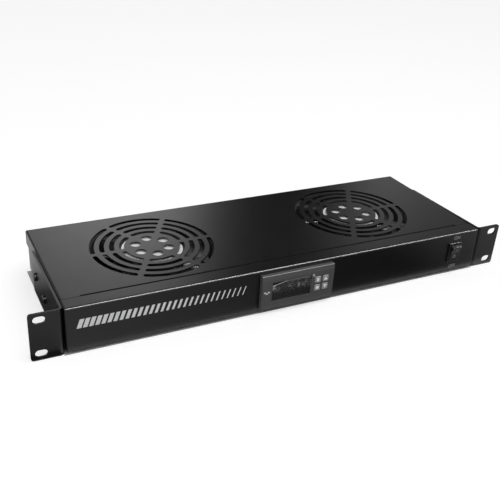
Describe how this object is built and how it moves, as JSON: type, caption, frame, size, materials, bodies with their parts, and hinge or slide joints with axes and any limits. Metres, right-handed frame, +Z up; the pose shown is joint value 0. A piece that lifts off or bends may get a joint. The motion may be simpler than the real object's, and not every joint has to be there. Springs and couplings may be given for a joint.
{
  "type": "rack fan tray",
  "caption": "One-unit rack fan tray: a flat black sheet-metal box with two ringed fan grilles on top, a thermostat panel and a rocker switch in front, and slotted rack ears.",
  "frame": {"origin": "centre of the rack hole pattern on the rear faces of the ears, where they meet the rack's rails", "axes": "+X to the right seen from the front, +Y to the rear of the tray, +Z up"},
  "size_m": [0.4826, 0.1572, 0.0444],
  "materials": {
    "black_sheet": "fine-textured semi-gloss black powder coat",
    "ear_coat": "fine-textured semi-gloss black powder coat",
    "black_screw": "black zinc",
    "zinc": "bright zinc plate",
    "fan_casting": "matt black paint on a die casting",
    "fan_plastic": "moulded, matt",
    "steel": "ground",
    "sintered_bronze": "sintered",
    "lamination": "stacked laminations",
    "copper": "enamelled wire",
    "foil": "satin foil",
    "thermostat_plastic": "moulded, fine matt",
    "lens": "polished dark window",
    "key_plastic": "moulded, light grey",
    "circuit_board": "solder resist",
    "component_case": "moulded case",
    "terminal_plastic": "moulded",
    "switch_plastic": "moulded, satin",
    "brass_blade": "stamped",
    "inlet_plastic": "moulded",
    "lead_brown": "insulated lead",
    "lead_blue": "insulated lead",
    "lead_earth": "insulated lead",
    "lead_black": "insulated lead"
  },
  "bodies": {
    "tray": {"base_tray": "black_sheet", "top_cover": "black_sheet", "left_ear_bracket": "ear_coat", "right_ear_bracket": "ear_coat", "bracket_screws": "black_screw", "bracket_spacers": "zinc", "bracket_nuts": "zinc", "cover_screws": "black_screw", "cover_nuts": "zinc", "fan_screws": "black_screw", "fan_nuts": "zinc", "thermostat_bezel": "thermostat_plastic", "thermostat_case": "thermostat_plastic", "display_lens": "lens", "display_module": "component_case", "front_board": "circuit_board", "main_board": "circuit_board", "board_transformer": "component_case", "board_relay": "component_case", "terminal_block": "terminal_plastic", "panel_grips": "thermostat_plastic", "tact_switches": "component_case", "switch_housing": "switch_plastic", "switch_blades": "brass_blade", "inlet_body": "inlet_plastic", "inlet_pins": "brass_blade", "live_lead": "lead_brown", "supply_lead": "lead_brown", "neutral_lead": "lead_blue", "earth_lead": "lead_earth", "left_fan_lead": "lead_black", "right_fan_lead": "lead_black", "sensor_lead": "lead_black", "sensor_probe": "steel", "probe_clip": "fan_plastic", "earth_stud": "zinc", "left_fan_frame": "fan_casting", "left_fan_bush": "sintered_bronze", "left_stator_core": "lamination", "left_stator_coils": "copper", "left_hub_label": "foil", "right_fan_frame": "fan_casting", "right_fan_bush": "sintered_bronze", "right_stator_core": "lamination", "right_stator_coils": "copper", "right_hub_label": "foil"},
    "left_rotor_set": {"left_fan_rotor": "fan_plastic", "left_fan_shaft": "steel", "left_fan_clip": "steel", "left_rotor_cage": "lamination"},
    "right_rotor_set": {"right_fan_rotor": "fan_plastic", "right_fan_shaft": "steel", "right_fan_clip": "steel", "right_rotor_cage": "lamination"},
    "rocker": {"switch_rocker": "switch_plastic"},
    "key_menu": {"button_menu": "key_plastic"},
    "key_up": {"button_up": "key_plastic"},
    "key_power": {"button_power": "key_plastic"},
    "key_down": {"button_down": "key_plastic"}
  },
  "joints": [
    {"name": "left_fan_spin", "type": "hinge", "parent": "tray", "child": "left_rotor_set", "pos_m": [-0.11, 0.076, 0], "axis": [0, 0, 1], "continuous": true},
    {"name": "right_fan_spin", "type": "hinge", "parent": "tray", "child": "right_rotor_set", "pos_m": [0.11, 0.076, 0], "axis": [0, 0, 1], "continuous": true},
    {"name": "rocker_tilt", "type": "hinge", "parent": "tray", "child": "rocker", "pos_m": [0.18465, -0.0027, 0.0017], "axis": [-1, 0, 0], "range_deg": [0, 24]},
    {"name": "key_menu_press", "type": "slide", "parent": "tray", "child": "key_menu", "axis": [0, 1, 0], "range_m": [0, 0.0004], "stiffness_N_per_m": 1500},
    {"name": "key_up_press", "type": "slide", "parent": "tray", "child": "key_up", "axis": [0, 1, 0], "range_m": [0, 0.0004], "stiffness_N_per_m": 1500},
    {"name": "key_power_press", "type": "slide", "parent": "tray", "child": "key_power", "axis": [0, 1, 0], "range_m": [0, 0.0004], "stiffness_N_per_m": 1500},
    {"name": "key_down_press", "type": "slide", "parent": "tray", "child": "key_down", "axis": [0, 1, 0], "range_m": [0, 0.0004], "stiffness_N_per_m": 1500}
  ]
}
